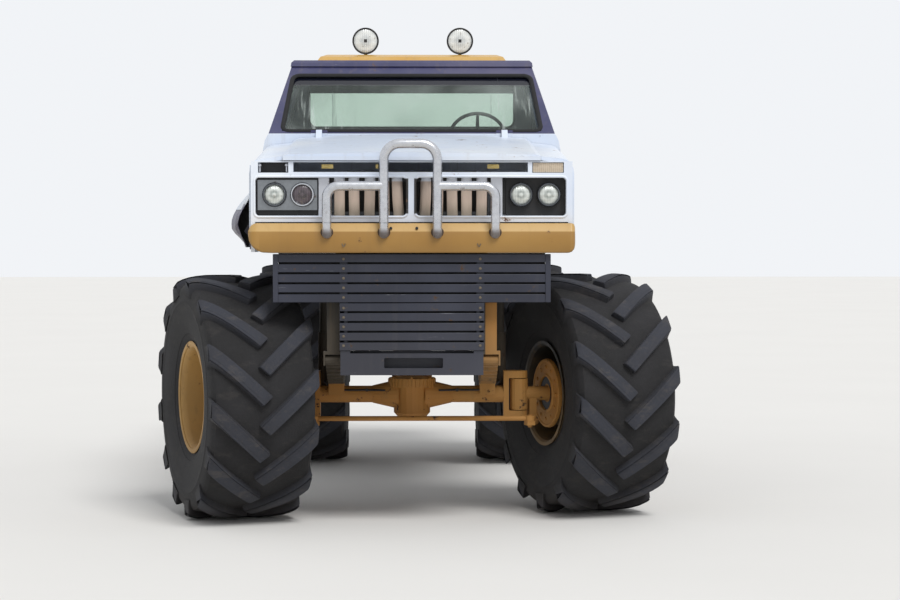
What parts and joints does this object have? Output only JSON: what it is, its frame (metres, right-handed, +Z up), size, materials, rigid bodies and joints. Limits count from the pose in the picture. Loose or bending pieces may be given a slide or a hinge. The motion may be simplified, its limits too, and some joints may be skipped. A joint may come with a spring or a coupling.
{
  "type": "monster truck",
  "caption": "Lifted pickup truck on giant lugged tyres, with slatted front guards, a brush guard, opening doors, hood and tailgate, steering and rolling wheels.",
  "frame": {"origin": "on the ground under the middle of the truck's overall box, to within a few centimetres", "axes": "+Z up, +Y towards the tailgate so that the grille faces -Y, +X towards the driver's side"},
  "size_m": [3.3766, 5.5388, 3.243],
  "materials": {
    "chassis_black": "satin black paint with dust",
    "spring_steel": "dark rusty spring steel",
    "gold_paint": "ochre gold paint, dusty and scratched",
    "engine_iron": "oily cast iron",
    "guard_paint": "dark blue grey paint with dried mud",
    "galvanised_tube": "dull galvanised steel",
    "white_paint": "cold white paint with chips and rust",
    "satin_slats": "beige satin metal, some slats bent",
    "lamp_metal": "bright metal and pale lens",
    "lamp_lens": "hazy pale amber lens",
    "navy_paint": "faded navy paint with dust",
    "window_glass": "green tinted glass",
    "cabin_plastic": "grained dark plastic",
    "seat_cloth": "worn dark cloth",
    "red_lens": "red moulded lens",
    "tyre": "dusty black rubber"
  },
  "bodies": {
    "chassis": {"frame_rails": "chassis_black", "cross_members": "chassis_black", "frame_brackets": "chassis_black", "leaf_springs": "spring_steel", "shock_absorbers": "chassis_black", "front_axle": "gold_paint", "rear_axle": "gold_paint", "engine": "engine_iron", "gearbox": "engine_iron", "driveshafts": "engine_iron", "slatted_guards": "guard_paint", "front_step": "guard_paint", "bumper": "gold_paint", "brush_guard": "galvanised_tube", "radiator": "chassis_black", "grille_panel": "white_paint", "grille_slats": "satin_slats", "left_headlamps": "lamp_metal", "right_headlamps": "lamp_metal", "parking_lamp": "lamp_lens", "left_fender": "navy_paint", "right_fender": "navy_paint", "cab": "navy_paint", "roof": "gold_paint", "cab_glass": "window_glass", "dash": "cabin_plastic", "steering_wheel": "cabin_plastic", "bench_seat": "seat_cloth", "bed": "navy_paint", "tail_lamps": "red_lens", "roof_lamps": "lamp_metal"},
    "hood_lid": {"hood": "white_paint"},
    "tail_flap": {"tailgate": "navy_paint"},
    "left_door_leaf": {"left_door": "navy_paint", "left_door_glass": "window_glass"},
    "right_door_leaf": {"right_door": "navy_paint", "right_door_glass": "window_glass"},
    "left_swivel": {"left_knuckle": "gold_paint"},
    "right_swivel": {"right_knuckle": "gold_paint"},
    "track_rod": {"tie_rod": "chassis_black"},
    "front_left_wheel": {"front_left_tyre": "tyre", "front_left_rim": "gold_paint"},
    "front_right_wheel": {"front_right_tyre": "tyre", "front_right_rim": "gold_paint"},
    "rear_left_wheel": {"rear_left_tyre": "tyre", "rear_left_rim": "gold_paint"},
    "rear_right_wheel": {"rear_right_tyre": "tyre", "rear_right_rim": "gold_paint"}
  },
  "joints": [
    {"name": "steer_left", "type": "hinge", "parent": "chassis", "child": "left_swivel", "pos_m": [0.69, -1.82, 0.77456], "axis": [0, 0, 1], "range_deg": [-41, 3]},
    {"name": "steer_right", "type": "hinge", "parent": "chassis", "child": "right_swivel", "pos_m": [-0.69, -1.82, 0.77456], "axis": [0, 0, 1], "range_deg": [-41, 3]},
    {"name": "track_rod_pivot", "type": "hinge", "parent": "left_swivel", "child": "track_rod", "pos_m": [0.75349, -2.00438, 0.63], "axis": [0, 0, 1], "range_deg": [-3, 41]},
    {"name": "front_left_roll", "type": "hinge", "parent": "left_swivel", "child": "front_left_wheel", "pos_m": [1.12494, -1.67024, 0.77456], "axis": [0.9455, 0.3256, 0], "continuous": true},
    {"name": "front_right_roll", "type": "hinge", "parent": "right_swivel", "child": "front_right_wheel", "pos_m": [-1.12494, -1.96976, 0.77456], "axis": [0.9455, 0.3256, 0], "continuous": true},
    {"name": "rear_left_roll", "type": "hinge", "parent": "chassis", "child": "rear_left_wheel", "pos_m": [0.85, 1.53, 0.77456], "axis": [1, 0, 0], "continuous": true},
    {"name": "rear_right_roll", "type": "hinge", "parent": "chassis", "child": "rear_right_wheel", "pos_m": [-0.85, 1.53, 0.77456], "axis": [1, 0, 0], "continuous": true},
    {"name": "left_door_hinge", "type": "hinge", "parent": "chassis", "child": "left_door_leaf", "pos_m": [0.984, -1.104, 2.065], "axis": [0, 0, -1], "range_deg": [0, 65]},
    {"name": "right_door_hinge", "type": "hinge", "parent": "chassis", "child": "right_door_leaf", "pos_m": [-0.984, -1.104, 2.065], "axis": [0, 0, 1], "range_deg": [0, 65]},
    {"name": "hood_hinge", "type": "hinge", "parent": "chassis", "child": "hood_lid", "pos_m": [0, -1.224, 2.488], "axis": [-1, 0, 0], "range_deg": [0, 55]},
    {"name": "tailgate_hinge", "type": "hinge", "parent": "chassis", "child": "tail_flap", "pos_m": [0, 2.67, 1.962], "axis": [-1, 0, 0], "range_deg": [0, 90]}
  ],
  "couplings": [
    {"joint": "steer_right", "follows": "steer_left", "ratio": 1},
    {"joint": "track_rod_pivot", "follows": "steer_left", "ratio": -1}
  ]
}
